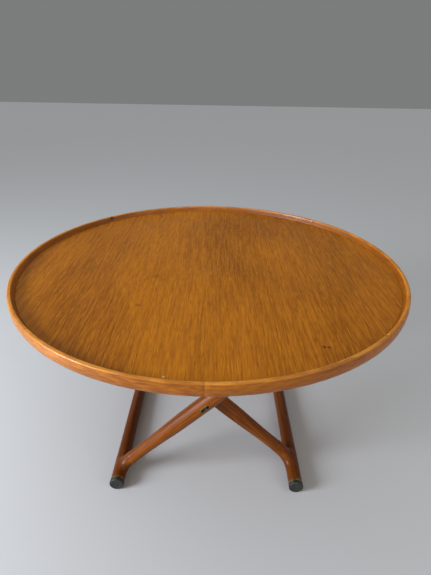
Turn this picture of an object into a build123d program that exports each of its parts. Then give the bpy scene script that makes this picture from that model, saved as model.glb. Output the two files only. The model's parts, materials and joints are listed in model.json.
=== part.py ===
"""Round tray-topped table on a folding X base.

Frame: millimetres, +Z up, +X to the right, front is -Y.
Origin: on the floor, under the centre of the top.

The base is two equal frames, each a floor rail and a top rail joined by two legs.
Frame A has the left floor rail and the right top rail, frame B the other two.
Frame B is frame A turned half a turn about Z. They turn on two pivot pins.
The top turns on frame A's top rail and rests on frame B's.
"""

import math
import os

from build123d import *

# Overall size
top_radius = 500.0
table_height = 540.0
underside_z = 511.3
tray_depth = 15.0

# Rim of the tray
rim_width = 16.0
rim_segments = 8
rim_edge_recess = 4.0
rim_crest_recess = 3.2
rim_crest_width = 4.4
joint_chamfer = 0.7
tongue_length = 30.0
tongue_height = 10.0
tongue_thickness = 3.0
tongue_lift = 11.0

# Rails
rail_radius = 18.0
rail_half_spacing = 237.0
floor_rail_z = 19.0
top_rail_z = 493.0
rail_half_length = 290.0

# Ends of the rails
ferrule_length = 6.0
ferrule_wall = 1.4
floor_ferrule_proud = 0.4
top_ferrule_proud = -0.1
cap_length = 10.0
floor_cap_radius = 19.0
top_cap_radius = 17.6
cap_edge_radius = 2.0
spigot_radius = 8.0
spigot_length = 15.0

# Legs
outer_leg_y = 238.0
inner_leg_y = 202.0
leg_end_radius = 16.0
leg_mid_radius = 20.3
taper_start = 74.0
taper_end = 285.0
elbow_tube_radius = 15.6
outer_elbow_radius = 30.0
inner_elbow_radius = 45.0
flat_offset = 17.0
flat_length = 215.0
dowel_radius = 6.0
dowel_in_rail = 8.0
dowel_length = 58.0

# Pivots
pin_radius = 4.0
running_clearance = 0.06
washer_radius = 11.0
washer_thickness = 1.9
plate_screw_spacing = 16.5
plate_end_radius = 6.5
plate_thickness = 2.0
plate_back_offset = 18.6
pin_proud = 0.5
screw_head_radius = 3.4
screw_head_depth = 1.3
screw_radius = 1.8
screw_slot_width = 0.9
screw_slot_depth = 0.7
plate_screw_length = 14.0
nut_radius = 8.0
nut_length = 7.0
nut_edge_radius = 2.5
nut_wall = 2.0
nut_seat_offset = 19.1
nut_seat_radius = 9.0
nut_clearance = 0.1

# Hinge between frame A's top rail and the top
hinge_y = 110.0
sleeve_length = 36.0
sleeve_wall = 1.94
journal_radius = 16.0
journal_end_gap = 0.2
strap_width = 24.0
strap_thickness = 2.5
strap_half_span = 44.0
strap_screw_x = 33.0
strap_screw_length = 12.0

# Stop blocks beside frame B's top rail
block_y = 120.0
block_length = 60.0
block_width = 22.0
block_depth = 18.0
block_gap = 0.3
block_edge_radius = 2.0
block_screw_offset = 18.0
block_screw_length = 27.0

leg_length = math.hypot(2 * rail_half_spacing, top_rail_z - floor_rail_z)
leg_lean = math.degrees(math.atan2(2 * rail_half_spacing, top_rail_z - floor_rail_z))
panel_radius = top_radius - rim_width
panel_top_z = table_height - tray_depth
panel_thickness = panel_top_z - underside_z
hinge_drop = underside_z - top_rail_z
sleeve_bore = journal_radius + running_clearance
sleeve_radius = sleeve_bore + sleeve_wall

half_turn = Rot(0, 0, 180)
parts = {}


def along_y(radius, y_start, y_end):
    """A cylinder on the Y axis from y_start to y_end."""
    length = abs(y_end - y_start)
    middle = (y_start + y_end) / 2
    return Pos(0, middle, 0) * Rot(90, 0, 0) * Cylinder(radius, length)


# ---------------------------------------------------------------- tray top


def rim_profile():
    """The rim's section, x outwards from the table's axis and y upwards from the floor."""
    outer = top_radius
    inner = panel_radius
    crest_outer = outer - rim_crest_recess
    crest_inner = crest_outer - rim_crest_width
    with BuildSketch(Plane.XZ) as profile:
        with BuildLine():
            Line((inner, underside_z), (outer - rim_edge_recess, underside_z))
            ThreePointArc(
                (outer - rim_edge_recess, underside_z),
                (outer, underside_z + 0.55 * (table_height - underside_z)),
                (outer - 1.0, table_height - 4.0),
            )
            ThreePointArc(
                (outer - 1.0, table_height - 4.0),
                (outer - 1.6, table_height - 1.2),
                (crest_outer, table_height),
            )
            Line((crest_outer, table_height), (crest_inner, table_height))
            ThreePointArc(
                (crest_inner, table_height),
                (crest_inner - 1.9, table_height - 1.4),
                (crest_inner - 2.5, table_height - 4.0),
            )
            ThreePointArc(
                (crest_inner - 2.5, table_height - 4.0),
                (inner + 3.4, panel_top_z + 4.2),
                (inner, panel_top_z),
            )
            Line((inner, panel_top_z), (inner, underside_z))
        make_face()
    return profile.sketch


def rim_tongue(angle):
    """A loose tongue that ties two rim segments together at the given angle."""
    tongue = Box(tongue_thickness, tongue_length, tongue_height)
    centre = top_radius - rim_width / 2
    return Rot(0, 0, angle) * Pos(centre, 0, underside_z + tongue_lift) * tongue


def make_tray():
    panel = Pos(0, 0, underside_z + panel_thickness / 2) * Cylinder(panel_radius, panel_thickness)
    panel = chamfer(panel.edges().filter_by(GeomType.CIRCLE).sort_by(Axis.Z)[-1], joint_chamfer)
    step = 360.0 / rim_segments
    angles = [step * i for i in range(rim_segments)]
    tongues = [rim_tongue(angle) for angle in angles]
    segment = revolve(rim_profile(), Axis.Z, revolution_arc=step)
    for i, angle in enumerate(angles):
        turned = Rot(0, 0, angle) * segment
        following = tongues[(i + 1) % rim_segments]
        parts[f"rim_segment_{i + 1}"] = turned - tongues[i] - following
    parts["rim_tongues"] = Compound(children=tongues)
    return panel


# ------------------------------------------------------------ slotted screws


def slotted_screw(length):
    """A screw with its head's face at z = 0 and its shank downwards."""
    head = Pos(0, 0, -screw_head_depth / 2) * Cylinder(screw_head_radius, screw_head_depth)
    shank = Pos(0, 0, -length / 2) * Cylinder(screw_radius, length)
    groove = Box(2.2 * screw_head_radius, screw_slot_width, screw_slot_depth)
    slot = Pos(0, 0, -screw_slot_depth / 2) * groove
    return head + shank - slot


def screw_space(length):
    """The hole that a slotted screw fills."""
    head = Pos(0, 0, -screw_head_depth / 2) * Cylinder(screw_head_radius, screw_head_depth)
    shank = Pos(0, 0, -length / 2) * Cylinder(screw_radius, length)
    return head + shank


# ---------------------------------------------------------------- hinge


def hinge_strap():
    """A brass strap round the rail, with the rail's axis on Y and its feet under the top."""
    outer = sleeve_radius + running_clearance + strap_thickness
    inner = sleeve_radius + running_clearance
    with BuildSketch(Plane.XZ) as section:
        Circle(outer)
        with Locations((0, hinge_drop / 2)):
            Rectangle(2 * outer, hinge_drop)
        with Locations((0, hinge_drop - strap_thickness / 2)):
            Rectangle(2 * strap_half_span, strap_thickness)
        Circle(inner, mode=Mode.SUBTRACT)
        with Locations((0, hinge_drop / 2)):
            Rectangle(2 * inner, hinge_drop, mode=Mode.SUBTRACT)
        with Locations((0, hinge_drop + outer / 2)):
            Rectangle(4 * outer, outer, mode=Mode.SUBTRACT)
    return extrude(section.sketch, strap_width / 2, both=True)


def make_hinge(panel):
    """The sleeves, straps and their screws. Returns the panel with the screws' holes."""
    sleeves = []
    screws = []
    rail_axis = Pos(rail_half_spacing, 0, top_rail_z)
    for name, side in (("front", -1), ("back", 1)):
        place = rail_axis * Pos(0, side * hinge_y, 0)
        sleeve = along_y(sleeve_radius, -sleeve_length / 2, sleeve_length / 2)
        sleeves.append(place * (sleeve - along_y(sleeve_bore, -sleeve_length, sleeve_length)))
        strap = place * hinge_strap()
        for x in (-strap_screw_x, strap_screw_x):
            from_below = place * Pos(x, 0, hinge_drop - strap_thickness) * Rot(180, 0, 0)
            screws.append(from_below * slotted_screw(strap_screw_length))
            strap -= from_below * screw_space(strap_screw_length)
            panel -= from_below * screw_space(strap_screw_length)
        parts[f"hinge_strap_{name}"] = strap
    parts["bearing_sleeves"] = Compound(children=sleeves)
    parts["strap_screws"] = Compound(children=screws)
    return panel


def make_stop_blocks(panel):
    """Blocks under the top, on the outer side of frame B's top rail."""
    screws = []
    block_x = -rail_half_spacing - rail_radius - block_gap - block_width / 2
    for name, side in (("front", -1), ("back", 1)):
        blank = Box(block_width, block_length, block_depth)
        eased = fillet(blank.edges().group_by(Axis.Z)[0], block_edge_radius)
        block = Pos(block_x, side * block_y, underside_z - block_depth / 2) * eased
        for y in (-block_screw_offset, block_screw_offset):
            screw_face = Pos(block_x, side * block_y + y, underside_z - block_depth)
            from_below = screw_face * Rot(180, 0, 0)
            screws.append(from_below * slotted_screw(block_screw_length))
            block -= from_below * screw_space(block_screw_length)
            panel -= from_below * screw_space(block_screw_length)
        parts[f"stop_block_{name}"] = block
    parts["block_screws"] = Compound(children=screws)
    return panel


# ---------------------------------------------------------------- base frames


def rail(turned_radius):
    """A rail on the Y axis, with its ends turned down for the ferrules and bored for the caps."""
    wood = along_y(rail_radius, -rail_half_length, rail_half_length)
    for side in (-1, 1):
        tip = side * rail_half_length
        shoulder = side * (rail_half_length - ferrule_length)
        wood -= along_y(2 * rail_radius, shoulder, tip) - along_y(turned_radius, shoulder, tip)
        wood -= along_y(spigot_radius, tip - side * spigot_length, tip)
    return wood


def rail_ends(ferrule_radius, cap_radius):
    """Two ferrules and two end caps for one rail on the Y axis."""
    ferrules = []
    caps = []
    for side in (-1, 1):
        tip = side * rail_half_length
        shoulder = side * (rail_half_length - ferrule_length)
        ring = along_y(ferrule_radius, shoulder, tip)
        ferrules.append(ring - along_y(ferrule_radius - ferrule_wall, shoulder, tip))
        disc = along_y(cap_radius, tip, tip + side * cap_length)
        rounded = disc.edges().filter_by(GeomType.CIRCLE).sort_by(Axis.Y)[0 if side < 0 else -1]
        disc = fillet(rounded, cap_edge_radius)
        caps.append(disc + along_y(spigot_radius, tip - side * spigot_length, tip))
    return ferrules, caps


def elbow(radius, side):
    """The bend that carries a leg's front into the rail's stub, with the leg on Z and the rail on Y."""
    bend = radius + elbow_tube_radius
    ring = Rot(0, 90, 0) * Torus(bend, elbow_tube_radius)
    quarter = Box(4 * elbow_tube_radius, bend, bend)
    return Pos(0, side * bend, bend) * (ring & Pos(0, -side * bend / 2, -bend / 2) * quarter)


def half_leg_section():
    """Half a leg in section, slim beside the rail at z = 0 and swelling towards the pivot."""
    swell = (taper_start + taper_end) / 2
    middle = leg_length / 2
    with BuildSketch(Plane.XZ) as section:
        with BuildLine():
            Line((0, 0), (leg_end_radius, 0))
            Line((leg_end_radius, 0), (leg_end_radius, taper_start))
            Bezier(
                (leg_end_radius, taper_start),
                (leg_end_radius, swell),
                (leg_mid_radius, swell),
                (leg_mid_radius, taper_end),
            )
            Line((leg_mid_radius, taper_end), (leg_mid_radius, middle))
            Line((leg_mid_radius, middle), (0, middle))
            Line((0, middle), (0, 0))
        make_face()
    return section.sketch


def plain_leg(elbow_radius, side):
    """A leg on Z from the floor rail's axis to the top rail's, scribed over both rails."""
    lower_half = revolve(half_leg_section(), Axis.Z)
    leg = lower_half + Pos(0, 0, leg_length) * mirror(lower_half, Plane.XY)
    lower = elbow(elbow_radius, side)
    upper = Pos(0, 0, leg_length) * mirror(lower, Plane.XY)
    leg = leg + lower + upper
    rails = 3 * elbow_radius + 2 * leg_end_radius
    for z in (0, leg_length):
        leg -= Pos(0, 0, z) * along_y(rail_radius, -rails, rails)
    for dowel in leg_dowels():
        leg -= dowel
    return leg


def leg_dowels():
    """The two dowels on a leg's axis, one in each rail."""
    dowel = Cylinder(dowel_radius, dowel_length)
    reach = dowel_length / 2 - dowel_in_rail
    return [Pos(0, 0, reach) * dowel, Pos(0, 0, leg_length - reach) * dowel]


def flat_cutter(offset, side, length, width):
    """A block that planes a leg flat at the given distance from its axis."""
    depth = leg_mid_radius
    block = Box(width, depth, length)
    ends = block.edges().filter_by(Axis.X)
    near = ends.sort_by(Axis.Y)[:2] if side > 0 else ends.sort_by(Axis.Y)[-2:]
    return Pos(0, side * (offset + depth / 2), 0) * fillet(near, depth / 2)


def pivot_plate(thickness):
    """A stadium plate in XZ with its back at y = 0, its pin at the origin and its screw below."""
    with BuildSketch(Plane.XZ) as outline:
        with Locations((0, 0), (0, -plate_screw_spacing)):
            Circle(plate_end_radius)
        with Locations((0, -plate_screw_spacing / 2)):
            Rectangle(2 * plate_end_radius, plate_screw_spacing)
    return extrude(outline.sketch, thickness)


def make_frame(letter, place, names, top_rail):
    """One frame: two rails, two legs, and the pin that its outer leg carries."""
    outer_name, inner_name, floor_name, top_name, pivot_name = names
    lean = Pos(-rail_half_spacing, 0, floor_rail_z) * Rot(0, leg_lean, 0)
    outer_place = lean * Pos(0, -outer_leg_y, 0)
    inner_place = lean * Pos(0, inner_leg_y, 0)
    pivot = Pos(0, 0, leg_length / 2)
    both_ways = 4 * leg_mid_radius

    outer_leg = plain_leg(outer_elbow_radius, -1)
    outer_leg -= pivot * flat_cutter(flat_offset, 1, flat_length, both_ways)
    outer_leg -= pivot * along_y(pin_radius, -both_ways, both_ways)
    plate_place = pivot * Pos(0, -plate_back_offset, 0)
    outer_leg -= plate_place * pivot_plate(both_ways)
    screw_place = plate_place * Pos(0, -plate_thickness, -plate_screw_spacing) * Rot(90, 0, 0)
    outer_leg -= screw_place * screw_space(plate_screw_length)

    inner_leg = plain_leg(inner_elbow_radius, 1)
    inner_leg -= pivot * flat_cutter(flat_offset, 1, flat_length, both_ways)
    inner_leg -= pivot * along_y(nut_seat_radius, -both_ways, -nut_seat_offset)
    inner_leg -= pivot * along_y(pin_radius + running_clearance, -both_ways, both_ways)

    plate = pivot_plate(plate_thickness) - along_y(pin_radius, -both_ways, both_ways)
    plate = plate_place * plate - screw_place * screw_space(plate_screw_length)

    spacing = outer_leg_y - inner_leg_y
    pin_start = -plate_back_offset - plate_thickness - pin_proud
    nut_start = spacing + nut_seat_offset + nut_clearance
    pin_end = nut_start + nut_length - nut_wall
    pin = along_y(pin_radius, pin_start, pin_end)
    washer = along_y(washer_radius, flat_offset, flat_offset + washer_thickness)
    washer -= along_y(pin_radius, 0, spacing)
    nut = along_y(nut_radius, nut_start, nut_start + nut_length)
    nut = fillet(nut.edges().filter_by(GeomType.CIRCLE).sort_by(Axis.Y)[-1], nut_edge_radius)
    nut -= along_y(pin_radius, 0, pin_end)

    floor_place = Pos(-rail_half_spacing, 0, floor_rail_z)
    top_place = Pos(rail_half_spacing, 0, top_rail_z)
    floor_ferrule_radius = rail_radius + floor_ferrule_proud
    top_ferrule_radius = rail_radius + top_ferrule_proud
    floor_ferrules, floor_caps = rail_ends(floor_ferrule_radius, floor_cap_radius)
    top_ferrules, top_caps = rail_ends(top_ferrule_radius, top_cap_radius)
    floor_wood = floor_place * rail(floor_ferrule_radius - ferrule_wall)
    top_wood = top_place * top_rail
    dowels = [outer_place * dowel for dowel in leg_dowels()]
    dowels += [inner_place * dowel for dowel in leg_dowels()]
    for dowel in dowels:
        floor_wood -= dowel
        top_wood -= dowel

    parts[outer_name] = place * outer_place * outer_leg
    parts[inner_name] = place * inner_place * inner_leg
    parts[floor_name] = place * floor_wood
    parts[top_name] = place * top_wood
    parts[f"leg_dowels_{letter}"] = Compound(children=[place * dowel for dowel in dowels])
    parts[f"floor_ferrules_{letter}"] = Compound(children=[place * floor_place * f for f in floor_ferrules])
    parts[f"floor_caps_{letter}"] = Compound(children=[place * floor_place * c for c in floor_caps])
    parts[f"top_ferrules_{letter}"] = Compound(children=[place * top_place * f for f in top_ferrules])
    parts[f"top_caps_{letter}"] = Compound(children=[place * top_place * c for c in top_caps])
    at_pivot = place * outer_place * pivot
    parts[f"pivot_plate_{pivot_name}"] = place * outer_place * plate
    plate_screw = screw_place * slotted_screw(plate_screw_length)
    parts[f"plate_screw_{pivot_name}"] = place * outer_place * plate_screw
    parts[f"pivot_pin_{pivot_name}"] = at_pivot * pin
    parts[f"pivot_washer_{pivot_name}"] = at_pivot * washer
    parts[f"pivot_nut_{pivot_name}"] = at_pivot * nut


def journalled_rail():
    """Frame A's top rail, with a neck for each bearing sleeve."""
    wood = rail(rail_radius + top_ferrule_proud - ferrule_wall)
    half = sleeve_length / 2 + journal_end_gap
    neck = along_y(2 * rail_radius, -half, half) - along_y(journal_radius, -half, half)
    for side in (-1, 1):
        wood -= Pos(0, side * hinge_y, 0) * neck
    return wood


def main():
    make_frame(
        "a",
        Pos(0, 0, 0),
        ("leg_front_outer", "leg_back_inner", "floor_rail_left", "top_rail_right", "front"),
        journalled_rail(),
    )
    make_frame(
        "b",
        half_turn,
        ("leg_back_outer", "leg_front_inner", "floor_rail_right", "top_rail_left", "back"),
        rail(rail_radius + top_ferrule_proud - ferrule_wall),
    )
    panel = make_tray()
    panel = make_hinge(panel)
    parts["top_panel"] = make_stop_blocks(panel)

    os.makedirs("parts", exist_ok=True)
    for name, solid in parts.items():
        solid.label = name
        export_step(solid, f"parts/{name}.step")
    print(len(parts), "nodes")


main()
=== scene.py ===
"""Looks for the round folding table with a raised rim: turned hardwood base, oak tray, brass fittings."""

import json
import math

import bmesh
import bpy
import numpy as np
from mathutils import Matrix, Vector


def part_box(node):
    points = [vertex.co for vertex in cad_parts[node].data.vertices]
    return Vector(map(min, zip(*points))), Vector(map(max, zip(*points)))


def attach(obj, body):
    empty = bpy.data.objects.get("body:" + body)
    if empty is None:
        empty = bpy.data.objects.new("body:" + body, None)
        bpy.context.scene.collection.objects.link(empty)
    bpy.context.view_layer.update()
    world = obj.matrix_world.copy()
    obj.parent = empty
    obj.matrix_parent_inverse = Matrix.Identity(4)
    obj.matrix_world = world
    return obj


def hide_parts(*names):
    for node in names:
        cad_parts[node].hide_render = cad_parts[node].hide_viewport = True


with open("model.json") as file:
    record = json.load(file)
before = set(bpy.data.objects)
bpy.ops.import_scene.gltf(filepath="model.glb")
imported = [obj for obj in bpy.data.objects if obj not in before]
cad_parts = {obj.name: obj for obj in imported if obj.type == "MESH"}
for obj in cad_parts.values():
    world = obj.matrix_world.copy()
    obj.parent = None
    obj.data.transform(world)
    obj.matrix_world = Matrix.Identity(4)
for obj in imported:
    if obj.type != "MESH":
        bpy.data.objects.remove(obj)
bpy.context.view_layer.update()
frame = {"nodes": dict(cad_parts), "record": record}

MM = 0.001

# ------------------------------------------------------------------ sizes read from the frame

panel_low, panel_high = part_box("top_panel")
rim_low, rim_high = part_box("rim_segment_1")
rail_low, rail_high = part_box("floor_rail_left")
top_rail_low, top_rail_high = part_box("top_rail_right")
dowels_low, dowels_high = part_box("leg_dowels_a")

panel_radius = panel_high.x
panel_top_z = panel_high.z
underside_z = panel_low.z
crest_z = rim_high.z
rim_radius = 0.5
rim_segments = sum(name.startswith("rim_segment") for name in frame["nodes"])

rail_radius = (rail_high.x - rail_low.x) / 2
floor_rail_axis = (rail_low + rail_high) / 2
floor_rail_axis.y = 0
top_rail_axis = (top_rail_low + top_rail_high) / 2
top_rail_axis.y = 0
rail_tip = rail_high.y

dowel_radius = 6 * MM
outer_leg_y = dowels_low.y + dowel_radius
inner_leg_y = dowels_high.y - dowel_radius
leg_run = top_rail_axis - floor_rail_axis
leg_length = leg_run.length
leg_lean = math.atan2(leg_run.x, leg_run.z)
leg_end_radius = 16 * MM
leg_mid_radius = 20.3 * MM
taper_start = 74 * MM
taper_end = 285 * MM
flat_offset = 17 * MM
ferrule_length = 6 * MM
collar_proud = 0.2 * MM
collar_dip = 1.6 * MM
collar_reach = 28 * MM
collar_end = 46 * MM
sleeve_half_length = 18.2 * MM
sleeve_neck_radius = 16 * MM
plate_end_radius = 6.45 * MM
plate_spacing = 16.5 * MM
plate_thickness = 2.0 * MM
plate_back_offset = 18.6 * MM
cap_plug_radius = 7.9 * MM
cap_plug_length = 14 * MM
half_turn = Matrix.Rotation(math.pi, 4, "Z")


# ------------------------------------------------------------------ mesh helpers


def piece(name, bm, body, node, material, smooth_angle=35):
    """Makes a mesh object from bm, shades it, and sets what it rides on and stands for."""
    bmesh.ops.remove_doubles(bm, verts=bm.verts, dist=0.00001)
    bmesh.ops.recalc_face_normals(bm, faces=bm.faces)
    mesh = bpy.data.meshes.new(name)
    bm.to_mesh(mesh)
    bm.free()
    obj = bpy.data.objects.new(name, mesh)
    bpy.context.collection.objects.link(obj)
    mesh.materials.append(material)
    mesh.shade_smooth()
    mesh.set_sharp_from_angle(angle=math.radians(smooth_angle))
    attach(obj, body)
    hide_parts(node)
    return obj


def arc(centre, radius, start, end, steps):
    """Points of a circular arc in a section's plane, in degrees."""
    angles = [math.radians(start + (end - start) * i / steps) for i in range(steps + 1)]
    return [(centre[0] + radius * math.cos(a), centre[1] + radius * math.sin(a)) for a in angles]


def lathe(section, steps=64):
    """A turned solid on the Y axis from (radius, y) points that start and end on the axis."""
    bm = bmesh.new()
    verts = [bm.verts.new((radius, y, 0)) for radius, y in section]
    edges = [bm.edges.new(pair) for pair in zip(verts, verts[1:])]
    bmesh.ops.spin(
        bm, geom=verts + edges, cent=(0, 0, 0), axis=(0, 1, 0), angle=math.tau, steps=steps, use_merge=True
    )
    return bm


def ring(section, steps=64):
    """A turned ring on the Y axis from a closed loop of (radius, y) points."""
    bm = bmesh.new()
    verts = [bm.verts.new((radius, y, 0)) for radius, y in section]
    edges = [bm.edges.new(pair) for pair in zip(verts, verts[1:] + verts[:1])]
    bmesh.ops.spin(
        bm, geom=verts + edges, cent=(0, 0, 0), axis=(0, 1, 0), angle=math.tau, steps=steps, use_merge=True
    )
    return bm


def moved(bm, *matrices):
    """bm placed by the product of the matrices."""
    place = Matrix.Identity(4)
    for matrix in matrices:
        place = place @ matrix
    bmesh.ops.transform(bm, matrix=place, verts=bm.verts)
    return bm


def joined(*meshes):
    """One bmesh that holds all the given ones."""
    whole = bmesh.new()
    for bm in meshes:
        mesh = bpy.data.meshes.new("part")
        bm.to_mesh(mesh)
        bm.free()
        whole.from_mesh(mesh)
        bpy.data.meshes.remove(mesh)
    return whole


def baked(bm, *modifiers):
    """bm with modifiers applied. Each modifier is (type, settings)."""
    mesh = bpy.data.meshes.new("work")
    bm.to_mesh(mesh)
    bm.free()
    obj = bpy.data.objects.new("work", mesh)
    bpy.context.collection.objects.link(obj)
    for kind, settings in modifiers:
        modifier = obj.modifiers.new(kind, kind)
        for key, value in settings.items():
            setattr(modifier, key, value)
    result = bmesh.new()
    result.from_object(obj, bpy.context.evaluated_depsgraph_get())
    bpy.data.objects.remove(obj)
    bpy.data.meshes.remove(mesh)
    return result


# ------------------------------------------------------------------ material helpers


class Finish:
    """A node material, with short calls for the nodes that the finishes share."""

    def __init__(self, name):
        self.material = bpy.data.materials.new(name)
        self.material.use_nodes = True
        self.tree = self.material.node_tree
        self.surface = self.tree.nodes["Principled BSDF"]

    def add(self, kind, **settings):
        made = self.tree.nodes.new("ShaderNode" + kind)
        for key, value in settings.items():
            setattr(made, key, value)
        return made

    def join(self, source, target):
        self.tree.links.new(source, target)

    def position(self, turn=(0, 0, 0)):
        """The point on the object, turned so that the grain runs along Z."""
        place = self.add("TexCoord")
        mapping = self.add("Mapping")
        mapping.inputs["Rotation"].default_value = turn
        self.join(place.outputs["Object"], mapping.inputs["Vector"])
        return mapping.outputs["Vector"]

    def noise(self, vector, stretch, detail=2.0, distortion=0.0, offset=(0, 0, 0)):
        """Noise with so many features per metre along each axis."""
        mapping = self.add("Mapping")
        mapping.inputs["Scale"].default_value = stretch
        mapping.inputs["Location"].default_value = offset
        self.join(vector, mapping.inputs["Vector"])
        noise = self.add("TexNoise")
        noise.inputs["Scale"].default_value = 1.0
        noise.inputs["Detail"].default_value = detail
        noise.inputs["Distortion"].default_value = distortion
        self.join(mapping.outputs["Vector"], noise.inputs["Vector"])
        return noise.outputs["Fac"]

    def ramp(self, value, low, high, from_value=0.0, to_value=1.0):
        """value between low and high becomes from_value to to_value, smoothly."""
        node = self.add("MapRange", interpolation_type="SMOOTHSTEP")
        node.inputs["From Min"].default_value = low
        node.inputs["From Max"].default_value = high
        node.inputs["To Min"].default_value = from_value
        node.inputs["To Max"].default_value = to_value
        self.join(value, node.inputs["Value"])
        return node.outputs["Result"]

    def maths(self, operation, first, second):
        node = self.add("Math", operation=operation)
        for socket, value in zip(node.inputs, (first, second)):
            if isinstance(value, (int, float)):
                socket.default_value = value
            else:
                self.join(value, socket)
        return node.outputs["Value"]

    def blend(self, share, first, second, mode="MIX"):
        """Colour first turned into second by share. Colours are (r, g, b) or sockets."""
        node = self.add("Mix", data_type="RGBA", blend_type=mode)
        for socket, value in zip((node.inputs[0], node.inputs[6], node.inputs[7]), (share, first, second)):
            if isinstance(value, tuple):
                socket.default_value = (*value, 1)
            elif isinstance(value, (int, float)):
                socket.default_value = value
            else:
                self.join(value, socket)
        return node.outputs[2]

    def bump(self, height, depth, strength=1.0, below=None):
        node = self.add("Bump")
        node.inputs["Strength"].default_value = strength
        node.inputs["Distance"].default_value = depth
        self.join(height, node.inputs["Height"])
        if below is not None:
            self.join(below, node.inputs["Normal"])
        return node.outputs["Normal"]

    def done(self, color, roughness, normal=None, **constants):
        """Joins the sockets to the surface and sets its constants."""
        self.join(color, self.surface.inputs["Base Color"])
        self.join(roughness, self.surface.inputs["Roughness"])
        if normal is not None:
            self.join(normal, self.surface.inputs["Normal"])
        for key, value in constants.items():
            self.surface.inputs[key.replace("_", " ")].default_value = value
        return self.material


def grained(finish, grain, light, dark, pore_color, figure, streak, pore, seed=0.0):
    """Wood colour, roughness and relief from a position with the grain along Z.

    figure, streak and pore are (features per metre across, features per metre along).
    """
    shift = (seed, seed * 0.7, seed * 1.3)
    broad = finish.noise(grain, (figure[0], figure[0], figure[1]), 2.0, 0.6, shift)
    lines = finish.noise(grain, (streak[0], streak[0], streak[1]), 3.0, 0.15, shift)
    pores = finish.noise(grain, (pore[0], pore[0], pore[1]), 2.0, 0.0, shift)
    tone = finish.maths("ADD", finish.ramp(broad, 0.3, 0.7, 0, 0.45), finish.ramp(lines, 0.3, 0.7, 0, 0.55))
    wood = finish.blend(tone, light, dark)
    pits = finish.ramp(pores, 0.56, 0.68)
    color = finish.blend(finish.maths("MULTIPLY", pits, 0.55), wood, pore_color)
    relief = finish.maths("SUBTRACT", finish.maths("MULTIPLY", lines, 0.3), pits)
    return color, relief, lines


# ------------------------------------------------------------------ finishes

ALONG_Y = (math.pi / 2, 0, 0)
RAIL_SEED = 2.0
# painted shade: the rails' colour is pulled this far towards a near-black red, standing in for the shade
# under the tray
RAIL_PAINTED_SHADE_SHARE = 0.58
RAIL_PAINTED_SHADE = (0.042, 0.0075, 0.0004)
DENTS = (
    (Vector((-0.131, -0.078, 0)), 0.0042, 0.85, (0.07, 0.022, 0.006)),
    (Vector((-0.138, -0.081, 0)), 0.0160, 0.45, (0.17, 0.050, 0.003)),
    (Vector((-0.155, -0.225, 0)), 0.0110, 0.55, (0.15, 0.044, 0.003)),
    (Vector((-0.071, -0.464, 0)), 0.0032, 0.75, (0.72, 0.50, 0.28)),
    (Vector((0.224, -0.371, 0)), 0.0058, 0.90, (0.06, 0.016, 0.004)),
    (Vector((0.233, -0.372, 0)), 0.0050, 0.90, (0.06, 0.016, 0.004)),
)
RIM_STAIN = Vector((-0.3475, 0.3475, crest_z - 5 * MM))


def oak_veneer():
    """Satin lacquered oak veneer, with its grain from front to back and a few small dents."""
    finish = Finish("oak_veneer")
    grain = finish.position(ALONG_Y)
    color, relief, lines = grained(
        finish,
        grain,
        light=(0.430, 0.143, 0.0026),
        dark=(0.195, 0.056, 0.0005),
        pore_color=(0.115, 0.030, 0.0004),
        figure=(4, 1.5),
        streak=(300, 13),
        pore=(560, 36),
    )
    flecks = finish.noise(grain, (380, 380, 28), 1.0, 0.2, (3.1, 1.7, 5.9))
    color = finish.blend(finish.ramp(flecks, 0.54, 0.72, 0, 0.42), color, (0.54, 0.20, 0.006))
    place = finish.add("TexCoord").outputs["Object"]
    for centre, radius, strength, tone in DENTS:
        distance = finish.add("VectorMath", operation="DISTANCE")
        distance.inputs[1].default_value = centre + Vector((0, 0, panel_top_z))
        finish.join(place, distance.inputs[0])
        share = finish.ramp(distance.outputs["Value"], radius, radius * 0.2, 0, strength)
        color = finish.blend(share, color, tone)
    wipes = finish.noise(grain, (6, 6, 4), 4.0, 1.0, (8, 2, 4))
    dulled = finish.maths("ADD", wipes, finish.maths("MULTIPLY", lines, 0.25))
    roughness = finish.ramp(dulled, 0.35, 0.9, 0.34, 0.52)
    return finish.done(color, roughness, finish.bump(relief, 0.00012, 0.5), Specular_IOR_Level=0.13)


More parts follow.
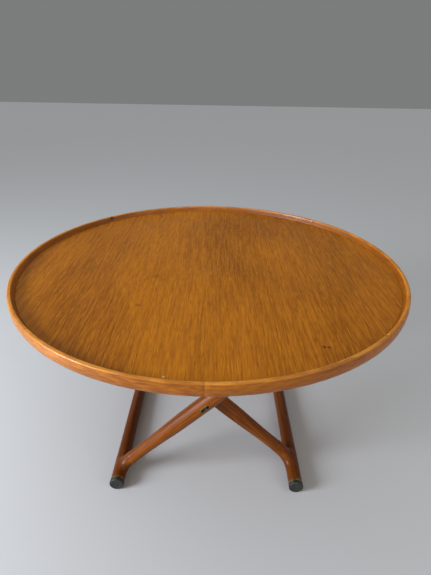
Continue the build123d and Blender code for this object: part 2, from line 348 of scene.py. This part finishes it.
def oak_rim():
    """Solid oak bent round the tray: grain along the arc, each segment of its own tone, with a painted
    highlight on its crest and painted shade low in its cove.
    """
    finish = Finish("oak_rim")
    place = finish.add("TexCoord").outputs["Object"]
    split = finish.add("SeparateXYZ")
    finish.join(place, split.inputs[0])
    x, y, z = split.outputs
    angle = finish.maths("ARCTAN2", y, x)
    turns = finish.maths("DIVIDE", finish.maths("ADD", angle, math.tau), math.tau / rim_segments)
    segment = finish.maths("FLOOR", turns, 0.0)
    distance = finish.add("VectorMath", operation="LENGTH")
    flat = finish.add("CombineXYZ")
    finish.join(x, flat.inputs[0])
    finish.join(y, flat.inputs[1])
    finish.join(flat.outputs[0], distance.inputs[0])
    grain = finish.add("CombineXYZ")
    finish.join(distance.outputs["Value"], grain.inputs[0])
    finish.join(finish.maths("ADD", z, finish.maths("MULTIPLY", segment, 0.37)), grain.inputs[1])
    finish.join(finish.maths("MULTIPLY", angle, rim_radius), grain.inputs[2])
    color, relief, lines = grained(
        finish,
        grain.outputs[0],
        light=(0.56, 0.195, 0.0070),
        dark=(0.200, 0.050, 0.0010),
        pore_color=(0.150, 0.036, 0.0010),
        figure=(26, 2.5),
        streak=(320, 40),
        pore=(900, 75),
    )
    lot = finish.add("TexWhiteNoise", noise_dimensions="1D")
    finish.join(segment, lot.inputs["W"])
    color = finish.blend(finish.ramp(lot.outputs["Value"], 0, 1, 0, 0.30), color, (0.27, 0.070, 0.003))
    # painted highlight: the top few millimetres of the crest turned paler orange in mottled patches
    painted_crest_highlight = finish.maths(
        "MULTIPLY",
        finish.ramp(z, crest_z - 2.6 * MM, crest_z - 0.5 * MM),
        finish.ramp(finish.noise(grain.outputs[0], (80, 80, 18), 3.0), 0.4, 0.65, 0.15, 0.6),
    )
    color = finish.blend(painted_crest_highlight, color, (0.64, 0.275, 0.034))
    # painted shade: the lower cove next to the panel darkened towards the pore colour
    painted_cove_shade = finish.maths(
        "MULTIPLY",
        finish.ramp(distance.outputs["Value"], panel_radius + 6.5 * MM, panel_radius + 4 * MM, 0, 0.75),
        finish.ramp(finish.noise(grain.outputs[0], (60, 60, 12), 3.0), 0.3, 0.7, 0.7, 1.0),
    )
    color = finish.blend(painted_cove_shade, color, (0.150, 0.036, 0.0010))
    stain = finish.add("VectorMath", operation="DISTANCE")
    stain.inputs[1].default_value = RIM_STAIN
    finish.join(place, stain.inputs[0])
    wander = finish.maths("MULTIPLY", lines, 0.008)
    spread = finish.maths("ADD", stain.outputs["Value"], wander)
    color = finish.blend(finish.ramp(spread, 0.014, 0.006, 0, 0.9), color, (0.040, 0.010, 0.002))
    roughness = finish.ramp(lines, 0.3, 0.7, 0.24, 0.40)
    return finish.done(color, roughness, finish.bump(relief, 0.00018, 0.7), Specular_IOR_Level=0.34)


def hardwood(finish, grain, seed):
    """Red-brown hardwood's colour, relief and fine lines, rubbed paler in places."""
    color, relief, lines = grained(
        finish,
        grain,
        light=(0.300, 0.084, 0.0040),
        dark=(0.074, 0.0135, 0.0005),
        pore_color=(0.030, 0.005, 0.0005),
        figure=(26, 1.4),
        streak=(330, 4.5),
        pore=(800, 17),
        seed=seed,
    )
    rubbed = finish.noise(grain, (25, 25, 9), 4.0, 0.8, (seed, 4, 1))
    color = finish.blend(finish.ramp(rubbed, 0.56, 0.78, 0, 0.45), color, (0.36, 0.135, 0.022))
    return color, relief, lines


def rail_hardwood():
    """Satin oiled hardwood for the rails, with the grain along them and darkened all over by painted shade.
    """
    finish = Finish("rail_hardwood")
    color, relief, lines = hardwood(finish, finish.position(ALONG_Y), RAIL_SEED)
    # painted shade: the rail colour is pulled most of the way to a near-black red
    color = finish.blend(RAIL_PAINTED_SHADE_SHARE, color, RAIL_PAINTED_SHADE)
    roughness = finish.ramp(lines, 0.3, 0.7, 0.30, 0.42)
    return finish.done(color, roughness, finish.bump(relief, 0.00015, 0.5), Specular_IOR_Level=0.2)


def leg_hardwood(name, direction, seed):
    """The same wood for legs that rise towards +X or -X, with grain and the rails' painted shade that turn
    into the rails.
    """
    finish = Finish(name)
    along_leg = hardwood(finish, finish.position((0, -direction * leg_lean, 0)), seed)
    along_rail = list(hardwood(finish, finish.position(ALONG_Y), RAIL_SEED))
    # painted shade: the leg ends next to the rails take the rails' darkened colour
    along_rail[0] = finish.blend(RAIL_PAINTED_SHADE_SHARE, along_rail[0], RAIL_PAINTED_SHADE)
    place = finish.add("TexCoord").outputs["Object"]
    nearness = []
    for axis in (floor_rail_axis, top_rail_axis):
        away = finish.add("VectorMath", operation="DISTANCE")
        flat = finish.add("VectorMath", operation="MULTIPLY")
        flat.inputs[1].default_value = (1, 0, 1)
        away.inputs[1].default_value = (direction * axis.x, 0, axis.z)
        finish.join(place, flat.inputs[0])
        finish.join(flat.outputs["Vector"], away.inputs[0])
        nearness.append(away.outputs["Value"])
    wander = finish.maths("MULTIPLY", along_leg[2], 0.012)
    distance = finish.maths("ADD", finish.maths("MINIMUM", *nearness), wander)
    share = finish.ramp(distance, 0.027, 0.050)
    color = finish.blend(share, along_rail[0], along_leg[0])
    relief = finish.blend(share, along_rail[1], along_leg[1])
    lines = finish.blend(share, along_rail[2], along_leg[2])
    roughness = finish.ramp(lines, 0.3, 0.7, 0.30, 0.42)
    return finish.done(color, roughness, finish.bump(relief, 0.00015, 0.5), Specular_IOR_Level=0.17)


def plain_wood():
    """Pale beech for the pieces inside the joints."""
    finish = Finish("beech")
    grain = finish.position(ALONG_Y)
    color, relief, lines = grained(
        finish,
        grain,
        light=(0.62, 0.42, 0.24),
        dark=(0.48, 0.29, 0.14),
        pore_color=(0.30, 0.17, 0.08),
        figure=(30, 2),
        streak=(300, 8),
        pore=(800, 60),
    )
    return finish.done(color, finish.ramp(lines, 0.3, 0.7, 0.55, 0.7), finish.bump(relief, 0.0001, 0.4))


def aged_brass(name, clean, tarnish, rubbed):
    """Brass under a patina, with its edges rubbed bright by the given share."""
    finish = Finish(name)
    place = finish.position()
    patina = finish.noise(place, (120, 120, 120), 5.0, 0.5)
    specks = finish.noise(place, (900, 900, 900), 3.0)
    color = finish.blend(finish.ramp(patina, 0.38, 0.62), clean, tarnish)
    color = finish.blend(finish.ramp(specks, 0.55, 0.72, 0, 0.7), color, (0.045, 0.027, 0.012))
    edges = finish.add("NewGeometry").outputs["Pointiness"]
    color = finish.blend(finish.ramp(edges, 0.53, 0.60, 0, rubbed), color, (0.62, 0.46, 0.21))
    roughness = finish.ramp(patina, 0.3, 0.7, 0.36, 0.58)
    return finish.done(color, roughness, finish.bump(specks, 0.00005, 0.5), Metallic=1.0)


def black_cap():
    """Matt black plastic, scuffed grey, with a fine moulded grain."""
    finish = Finish("black_cap")
    place = finish.position()
    scuffs = finish.noise(place, (160, 160, 160), 5.0, 1.2)
    grain = finish.noise(place, (1500, 1500, 1500), 2.0)
    color = finish.blend(finish.ramp(scuffs, 0.45, 0.72), (0.010, 0.010, 0.009), (0.045, 0.045, 0.038))
    roughness = finish.ramp(scuffs, 0.35, 0.7, 0.42, 0.62)
    return finish.done(color, roughness, finish.bump(grain, 0.00006, 0.6), Specular_IOR_Level=0.5)


veneer = oak_veneer()
rim_oak = oak_rim()
rail_wood = rail_hardwood()
leg_wood_a = leg_hardwood("leg_hardwood_rising_right", 1, 7.0)
leg_wood_b = leg_hardwood("leg_hardwood_rising_left", -1, 13.0)
beech = plain_wood()
brass = aged_brass("aged_brass", (0.36, 0.245, 0.095), (0.12, 0.080, 0.032), 0.9)
dark_brass = aged_brass("tarnished_brass", (0.150, 0.105, 0.045), (0.055, 0.040, 0.018), 0.0)
black_brass = aged_brass("blackened_brass", (0.050, 0.036, 0.018), (0.018, 0.013, 0.008), 0.0)
cap_black = black_cap()


# ------------------------------------------------------------------ the tray


def rim_section():
    """The rim's section as (radius, height) points, outer side first, from the underside up."""
    height = crest_z - underside_z
    inner = panel_radius
    outer = rim_radius
    lower_edge = [(inner, underside_z), (outer - 4.6 * MM, underside_z)]
    lower_edge += [(outer - 4.0 * MM, underside_z + 0.5 * MM)]
    flank = []
    for i in range(1, 12):
        share = i / 12
        bulge = math.sin(math.pi * (0.06 + 0.80 * share)) ** 0.8
        flank.append((outer - 4.2 * MM + 4.2 * MM * bulge, underside_z + share * (height - 3.6 * MM)))
    shoulder = arc((outer - 4.2 * MM, crest_z - 3.4 * MM), 3.4 * MM, 15, 90, 6)
    crown = [(outer - 6.0 * MM, crest_z)]
    inner_round = arc((outer - 7.6 * MM, crest_z - 2.2 * MM), 2.2 * MM, 90, 172, 6)
    drop = crest_z - 3.5 * MM - panel_top_z
    cove = []
    for i in range(1, 9):
        share = i / 8
        across = (outer - 9.9 * MM - inner) * (1 - math.sin(share * math.pi / 2) ** 0.9)
        cove.append((inner + across, crest_z - 3.5 * MM - drop * (1 - (1 - share) ** 1.8)))
    return lower_edge + flank + shoulder + crown + inner_round + cove


def make_rim():
    """Bent oak segments end to end, with a hairline between them."""
    span = math.tau / rim_segments
    section = rim_section()
    gap = 0.05 * MM / rim_radius
    for i in range(rim_segments):
        bm = bmesh.new()
        verts = [bm.verts.new((radius, 0, z)) for radius, z in section]
        face = bm.faces.new(verts)
        moved(bm, Matrix.Rotation(i * span + gap, 4, "Z"))
        bmesh.ops.spin(
            bm, geom=[face], cent=(0, 0, 0), axis=(0, 0, 1), angle=span - 2 * gap, steps=40, use_merge=False
        )
        ends = [e for f in bm.faces if len(f.verts) > 4 for e in f.edges]
        bmesh.ops.bevel(
            bm, geom=ends, offset=0.15 * MM, segments=2, profile=0.5, affect="EDGES", material=-1
        )
        piece(f"bent_rim_{i + 1}", bm, "tabletop", f"rim_segment_{i + 1}", rim_oak, 50)


# ------------------------------------------------------------------ the base


def make_rail(name, axis, turn, body, node):
    """A turned rail with softened shoulders where its ferrules sit."""
    shoulder = rail_tip - ferrule_length
    section = [(0, -rail_tip), (rail_radius - 1.4 * MM, -rail_tip), (rail_radius - 1.4 * MM, -shoulder)]
    section += [(rail_radius - 0.4 * MM, -shoulder), (rail_radius, -shoulder + 0.4 * MM)]
    section += [(r, -y) for r, y in reversed(section)]
    rail = moved(lathe(section), turn, Matrix.Translation(axis))
    return piece(name, rail, body, node, rail_wood)


def make_sleeved_rail(name, axis, body, node):
    """The rail that the top hinges on, with a neck for each bearing sleeve."""
    shoulder = rail_tip - ferrule_length
    end_radius = rail_radius - 1.5 * MM
    strap_low, strap_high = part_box("hinge_strap_back")
    hinge_y = (strap_low.y + strap_high.y) / 2
    neck_start = hinge_y - sleeve_half_length
    neck_end = hinge_y + sleeve_half_length
    half_section = [(rail_radius, neck_start), (sleeve_neck_radius, neck_start)]
    half_section += [(sleeve_neck_radius, neck_end), (rail_radius, neck_end)]
    half_section += [(rail_radius, shoulder - 0.4 * MM), (rail_radius - 0.4 * MM, shoulder)]
    half_section += [(end_radius, shoulder), (end_radius, rail_tip), (0, rail_tip)]
    section = [(r, -y) for r, y in reversed(half_section)] + half_section
    return piece(name, moved(lathe(section), Matrix.Translation(axis)), body, node, rail_wood)


def bent_tube(radius, bend, side):
    """A quarter bend from up the Z axis round to the Y axis, closed at both ends."""
    bm = bmesh.new()
    circle = bmesh.ops.create_circle(bm, cap_ends=True, radius=radius, segments=48)
    bmesh.ops.translate(bm, verts=circle["verts"], vec=(0, 0, bend))
    bmesh.ops.spin(
        bm,
        geom=list(bm.faces),
        cent=(0, side * bend, bend),
        axis=(1, 0, 0),
        angle=side * math.pi / 2,
        steps=24,
        use_merge=False,
    )
    return bm


def half_leg_outline():
    """(radius, height) points from the rail's axis to the pivot, slim at first and then swelling."""
    turning = (taper_start + taper_end) / 2
    points = [(leg_end_radius, 0)]
    steps = 20
    for i in range(steps + 1):
        t = i / steps
        early = (1 - t) ** 3 + 3 * (1 - t) ** 2 * t
        height = taper_start * (1 - t) ** 3 + 3 * turning * (1 - t) * t + taper_end * t ** 3
        points.append((leg_end_radius * early + leg_mid_radius * (1 - early), height))
    return points


def smooth_union(first, second, width):
    """Two distances joined by a fillet that is about the given width."""
    share = np.clip(0.5 + 0.5 * (second - first) / width, 0, 1)
    return second * (1 - share) + first * share - width * share * (1 - share)


def joint_distance(x, y, z, bend):
    """Distance from the skin where a leg on Z meets a rail on Y, with the elbow towards -Y."""
    radii, heights = zip(*half_leg_outline())
    nose = 16 * MM
    shaft = np.hypot(np.hypot(x, y), np.minimum(z - nose, 0)) - np.interp(z, heights, radii)
    turn = np.clip(np.arctan2(bend - z, y + bend), 0, math.pi / 2)
    across = np.hypot(y + bend - bend * np.cos(turn), z - bend + bend * np.sin(turn))
    elbow = np.hypot(x, across) - leg_end_radius + 4 * MM * turn / (math.pi / 2)
    sunk = np.clip((y - collar_reach) / (collar_end - collar_reach), 0, 1)
    collar = np.hypot(x, z) - rail_radius - collar_proud + collar_dip * sunk
    fillet = (10 - 4 * np.clip(-y / bend, 0, 1)) * MM
    return smooth_union(smooth_union(shaft, elbow, 3 * MM), collar, fillet)


def drawn_to_skin(points, bend):
    """Rows of x, y, z moved onto the joint's skin, where they start near it."""
    near = np.abs(joint_distance(*points, bend)) < 6 * MM
    moving = points[:, near]
    nudge = 0.05 * MM
    for _ in range(5):
        here = joint_distance(*moving, bend)
        shifted = [moving + nudge * np.eye(3)[:, [i]] for i in range(3)]
        slope = np.array([joint_distance(*there, bend) - here for there in shifted]) / nudge
        moving = moving - here * slope / np.maximum((slope ** 2).sum(axis=0), 0.2)
    points[:, near] = moving
    return points


def leg_shape(elbow_radius, stub, side, plane_side):
    """A leg on Z, sculpted into both rails, with a flat where it passes the other leg."""
    half = half_leg_outline()
    shaft = [(0, 0)] + half + [(radius, leg_length - height) for radius, height in reversed(half)]
    body = moved(lathe(shaft + [(0, leg_length)]), Matrix.Rotation(math.pi / 2, 4, "X"))
    bend = elbow_radius + leg_end_radius
    proud = rail_radius + collar_proud
    collar = [(0, -stub), (proud, -stub), (proud, collar_reach)]
    collar += [(proud - collar_dip, collar_end), (0, collar_end)]
    flip = Matrix.Scale(-side, 4, (0, 1, 0))
    shells = [body]
    for height, way in ((0, 1), (leg_length, -1)):
        place = Matrix.Translation((0, 0, height)) @ Matrix.Scale(way, 4, (0, 0, 1)) @ flip
        for shell in (bent_tube(leg_end_radius, bend, -1), lathe(collar)):
            moved(shell, place)
            bmesh.ops.recalc_face_normals(shell, faces=shell.faces)
            shells.append(shell)
    leg = baked(
        joined(*shells),
        ("REMESH", {"mode": "VOXEL", "voxel_size": 1.5 * MM, "adaptivity": 0.0}),
        ("SMOOTH", {"factor": 0.5, "iterations": 10}),
    )
    points = np.array([vert.co for vert in leg.verts]).T
    lower = points[2] < leg_length / 2
    for half_of, base, way in ((lower, 0.0, 1), (~lower, leg_length, -1)):
        x, y, z = points[:, half_of]
        x, y, z = drawn_to_skin(np.array([x, -side * y, way * (z - base)]), bend)
        points[:, half_of] = x, -side * y, base + way * z
    flat_half = 95 * MM
    run_out = 14 * MM
    beyond = np.maximum(0, np.abs(points[2] - leg_length / 2) - flat_half) / run_out
    limit = np.where(beyond < 2, flat_offset + 2 * MM * beyond ** 2, leg_length)
    points[1] = plane_side * np.minimum(points[1] * plane_side, limit)
    for vert, place in zip(leg.verts, points.T):
        vert.co = place
    return leg


def make_leg(name, node, body, y, elbow_radius, side, plane_side, turn, material):
    """A leg leant into its place between two rails."""
    stub = rail_tip - ferrule_length - abs(y)
    lean = Matrix.Translation(floor_rail_axis + Vector((0, y, 0))) @ Matrix.Rotation(leg_lean, 4, "Y")
    bm = moved(leg_shape(elbow_radius, stub, side, plane_side), turn, lean)
    return piece(name, bm, body, node, material, 60)


def stadium(end_radius, spacing, steps=16):
    """Corners of a stadium in XZ round the origin and a point that far below it."""
    top = arc((0, 0), end_radius, 0, 180, steps)
    bottom = arc((0, -spacing), end_radius, 180, 360, steps)
    return [(x, 0, z) for x, z in top + bottom]


def make_pivot_plate(name, node, body, place):
    """A brass plate with a raised, rubbed edge round a dark field, in front of y = 0."""
    bm = bmesh.new()
    base = bm.faces.new([bm.verts.new(corner) for corner in stadium(plate_end_radius, plate_spacing)])
    front = bmesh.ops.extrude_face_region(bm, geom=[base])
    corners = [item for item in front["geom"] if isinstance(item, bmesh.types.BMVert)]
    bmesh.ops.translate(bm, verts=corners, vec=(0, -plate_thickness, 0))
    rim = [item for item in front["geom"] if isinstance(item, bmesh.types.BMEdge)]
    bmesh.ops.bevel(bm, geom=rim, offset=0.35 * MM, segments=3, profile=0.5, affect="EDGES", material=-1)
    field = [face for face in bm.faces if face.calc_center_median().y < -0.995 * plate_thickness]
    bmesh.ops.inset_region(bm, faces=field, thickness=0.9 * MM, depth=0)
    bmesh.ops.inset_region(bm, faces=field, thickness=0.3 * MM, depth=-0.15 * MM)
    for face in field:
        face.material_index = 1
    plate = piece(name, moved(bm, place), body, node, brass, 40)
    plate.data.materials.append(dark_brass)


def make_pivot(body, turn, end):
    """The cover plate on the outer leg of one frame. Its pin and screw are left as the frame has them."""
    foot = Matrix.Translation(floor_rail_axis + Vector((0, outer_leg_y, 0)))
    lean = foot @ Matrix.Rotation(leg_lean, 4, "Y")
    pivot = turn @ lean @ Matrix.Translation((0, 0, leg_length / 2))
    back = pivot @ Matrix.Translation((0, -plate_back_offset, 0))
    make_pivot_plate(f"pivot_cover_{end}", f"pivot_plate_{end}", body, back)


def make_rail_ends(frame_letter, turn, body):
    """Ferrules and end caps of one frame, as one piece of each for a rail."""
    for level, axis in (("floor", floor_rail_axis), ("top", top_rail_axis)):
        cap_low, cap_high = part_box(f"{level}_caps_{frame_letter}")
        cap_radius = (cap_high.x - cap_low.x) / 2
        cap_tip = cap_high.y
        ring_low, ring_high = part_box(f"{level}_ferrules_{frame_letter}")
        ring_radius = (ring_high.x - ring_low.x) / 2
        plug_start = rail_tip - cap_plug_length
        cap_section = [(0, plug_start), (cap_plug_radius, plug_start), (cap_plug_radius, rail_tip)]
        cap_section += [(cap_radius - 0.5 * MM, rail_tip)]
        cap_section += arc((cap_radius - 0.5 * MM, rail_tip + 0.5 * MM), 0.5 * MM, -90, 0, 3)
        cap_section += arc((cap_radius - 2.2 * MM, cap_tip - 2.2 * MM), 2.2 * MM, 0, 90, 6)
        cap_section += [(cap_radius - 3.4 * MM, cap_tip - 0.1 * MM)]
        cap_section += [(cap_radius - 4.0 * MM, cap_tip - 0.7 * MM)]
        cap_section += [(4 * MM, cap_tip - 1.0 * MM), (0, cap_tip - 1.0 * MM)]
        start = rail_tip - ferrule_length
        inner = ring_radius - 1.3 * MM
        ring_section = [(inner, start), (ring_radius - 0.5 * MM, start)]
        ring_section += [(ring_radius - 0.1 * MM, start + 0.4 * MM), (ring_radius, rail_tip - 3 * MM)]
        ring_section += [(ring_radius - 0.1 * MM, rail_tip - 0.5 * MM)]
        ring_section += [(ring_radius - 0.5 * MM, rail_tip), (inner, rail_tip)]
        there = turn @ Matrix.Translation(axis)
        back = there @ half_turn
        caps = joined(moved(lathe(cap_section), there), moved(lathe(cap_section), back))
        rings = joined(moved(ring(ring_section), there), moved(ring(ring_section), back))
        caps_node = f"{level}_caps_{frame_letter}"
        rings_node = f"{level}_ferrules_{frame_letter}"
        piece(f"{level}_end_caps_{frame_letter}", caps, body, caps_node, cap_black)
        piece(f"{level}_end_rings_{frame_letter}", rings, body, rings_node, brass)


def make_frame(letter, turn, outer, inner, rail, leg_wood):
    """The two legs, floor rail and rail ends of one folding frame."""
    body = f"frame_{letter}"
    make_leg(f"{outer}_turned", outer, body, outer_leg_y, 30 * MM, -1, 1, turn, leg_wood)
    make_leg(f"{inner}_turned", inner, body, inner_leg_y, 45 * MM, 1, 1, turn, leg_wood)
    make_rail(f"{rail}_turned", floor_rail_axis, turn, body, rail)
    make_rail_ends(letter, turn, body)


# ------------------------------------------------------------------ build

make_rim()
no_turn = Matrix.Identity(4)
make_frame("a", no_turn, "leg_front_outer", "leg_back_inner", "floor_rail_left", leg_wood_a)
make_frame("b", half_turn, "leg_back_outer", "leg_front_inner", "floor_rail_right", leg_wood_b)
make_pivot("frame_a", no_turn, "front")
make_pivot("frame_b", half_turn, "back")
make_rail("top_rail_left_turned", top_rail_axis, half_turn, "frame_b", "top_rail_left")
make_sleeved_rail("top_rail_right_turned", top_rail_axis, "frame_a", "top_rail_right")

finishes = {
    "oak_top": veneer,
    "oak_rim": rim_oak,
    "dark_wood": rail_wood,
    "dowel_wood": beech,
    "brass": brass,
    "black_cap": cap_black,
}
slot_of = {entry["node"]: entry["material_slot"] for entry in frame["record"]["subparts"]}
for name, obj in frame["nodes"].items():
    obj.data.materials.clear()
    pinned = name.startswith(("pivot_pin", "plate_screw"))
    obj.data.materials.append(black_brass if pinned else finishes[slot_of[name]])
    edging = obj.modifiers.new("eased_edges", "BEVEL")
    edging.width = 0.25 * MM
    edging.segments = 2
    edging.limit_method = "ANGLE"
    edging.angle_limit = math.radians(50)


# ------------------------------------------------------------------ floor, light and camera


def make_floor():
    bm = bmesh.new()
    bmesh.ops.create_grid(bm, x_segments=2, y_segments=2, size=15)
    mesh = bpy.data.meshes.new("floor")
    bm.to_mesh(mesh)
    bm.free()
    floor = bpy.data.objects.new("floor", mesh)
    bpy.context.collection.objects.link(floor)
    finish = Finish("pale_floor")
    grain = finish.noise(finish.position(), (900, 900, 900), 3.0)
    color = finish.blend(finish.ramp(grain, 0.35, 0.65), (0.46, 0.475, 0.50), (0.42, 0.435, 0.46))
    mesh.materials.append(finish.done(color, finish.ramp(grain, 0.3, 0.7, 0.9, 0.95)))


def make_light(name, place, size, power, color):
    lamp = bpy.data.lights.new(name, "AREA")
    lamp.shape = "SQUARE"
    lamp.size = size
    lamp.energy = power
    lamp.color = color
    obj = bpy.data.objects.new(name, lamp)
    bpy.context.collection.objects.link(obj)
    obj.location = place
    obj.rotation_euler = (Vector((0, 0, 0.3)) - Vector(place)).to_track_quat("-Z", "Y").to_euler()


def make_sky_light(name, strength, color):
    """Even, very soft light from above."""
    lamp = bpy.data.lights.new(name, "SUN")
    lamp.energy = strength
    lamp.angle = math.radians(140)
    lamp.color = color
    obj = bpy.data.objects.new(name, lamp)
    bpy.context.collection.objects.link(obj)
    obj.rotation_euler = (math.radians(12), math.radians(-10), 0)


def make_camera():
    """A wide view from in front of the table, looking down at the top."""
    camera = bpy.data.cameras.new("camera")
    camera.sensor_width = 36
    camera.lens = 25.3252
    obj = bpy.data.objects.new("camera", camera)
    bpy.context.collection.objects.link(obj)
    down = math.radians(27.73)
    roll = math.radians(0.98)
    place = Vector((0.030, -2.0, 0.879)) * rim_radius + Vector((0, 0, crest_z))
    aim = Matrix.Rotation(math.pi / 2 - down, 4, "X") @ Matrix.Rotation(roll, 4, "Z")
    obj.matrix_world = Matrix.Translation(place) @ aim
    bpy.context.scene.camera = obj


make_floor()
make_light("window_side", (-2.5, -1.2, 1.2), 1.2, 122, (0.93, 0.96, 1.0))
make_light("room_side", (2.1, -1.7, 1.1), 1.4, 12, (1.0, 0.82, 0.62))
make_sky_light("ceiling", 1.45, (1.0, 0.98, 0.95))
world = bpy.data.worlds.new("studio")
world.use_nodes = True
world.node_tree.nodes["Background"].inputs["Color"].default_value = (0.82, 0.86, 0.84, 1)
world.node_tree.nodes["Background"].inputs["Strength"].default_value = 0.24
bpy.context.scene.world = world
bpy.context.scene.view_settings.view_transform = "Standard"
make_camera()
